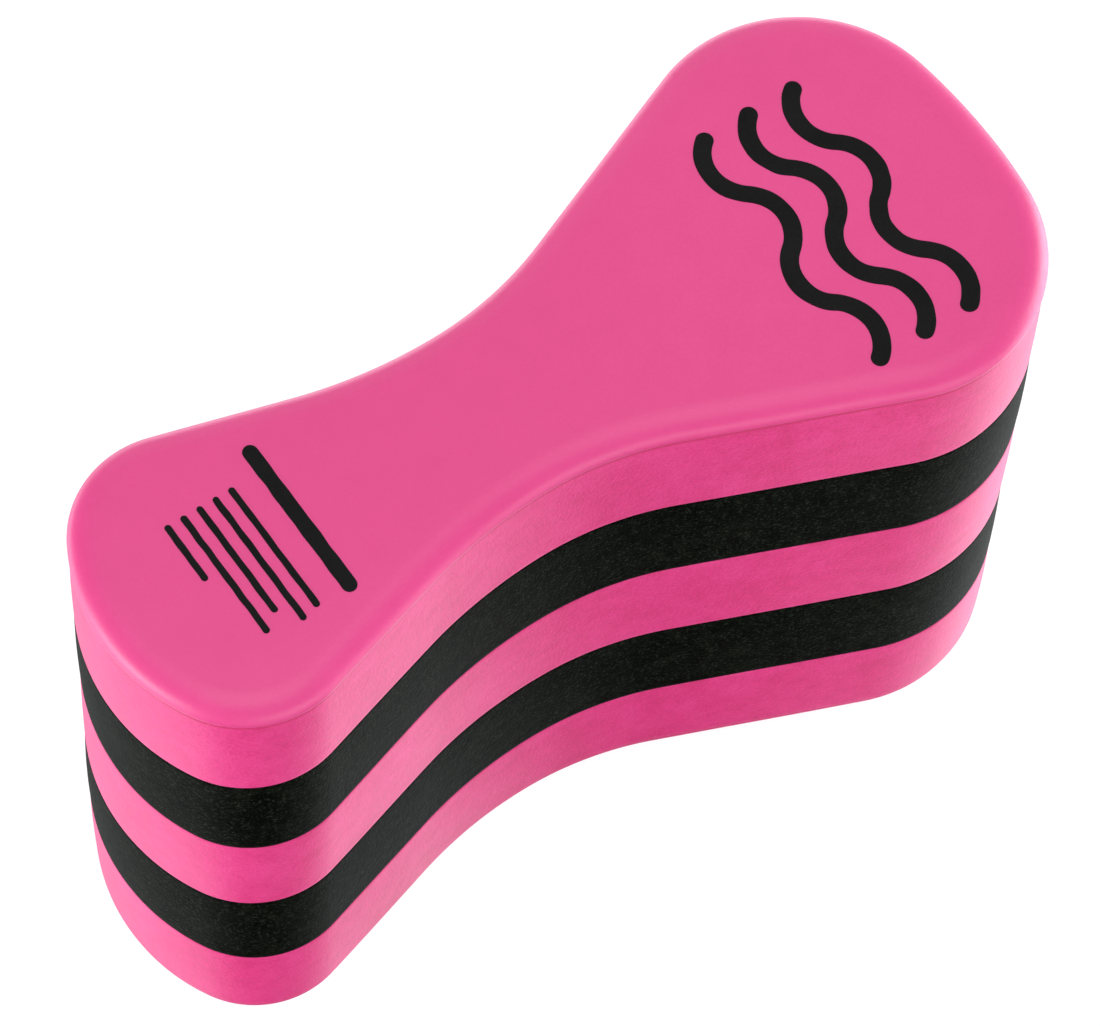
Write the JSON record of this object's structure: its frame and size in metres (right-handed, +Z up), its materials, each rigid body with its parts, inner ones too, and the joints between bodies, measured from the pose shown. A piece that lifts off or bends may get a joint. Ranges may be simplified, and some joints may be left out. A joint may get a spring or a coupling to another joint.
{
  "type": "pull buoy",
  "caption": "Figure-of-eight foam float for swimming, held between the thighs: a big lobe, a slim waist and a small lobe, built from bonded foam sheets in two colours.",
  "frame": {"origin": "centre of the bounding box on the bottom face, which is the face it rests on", "axes": "+X along the length from the small lobe to the big lobe, +Y across the lobes, +Z up through the stacked sheets"},
  "size_m": [0.2104, 0.0934, 0.1479],
  "materials": {
    "foam_pink": "matte closed-cell foam",
    "foam_black": "matte closed-cell foam",
    "adhesive": "dull contact adhesive",
    "ink": "satin screen-print ink"
  },
  "bodies": {
    "root": {"top_layer": "foam_pink", "upper_stripe": "foam_black", "middle_layer": "foam_pink", "lower_stripe": "foam_black", "bottom_layer": "foam_pink", "bond_film_1": "adhesive", "bond_film_2": "adhesive", "bond_film_3": "adhesive", "bond_film_4": "adhesive", "printed_waves": "ink", "printed_bars": "ink"}
  },
  "joints": []
}
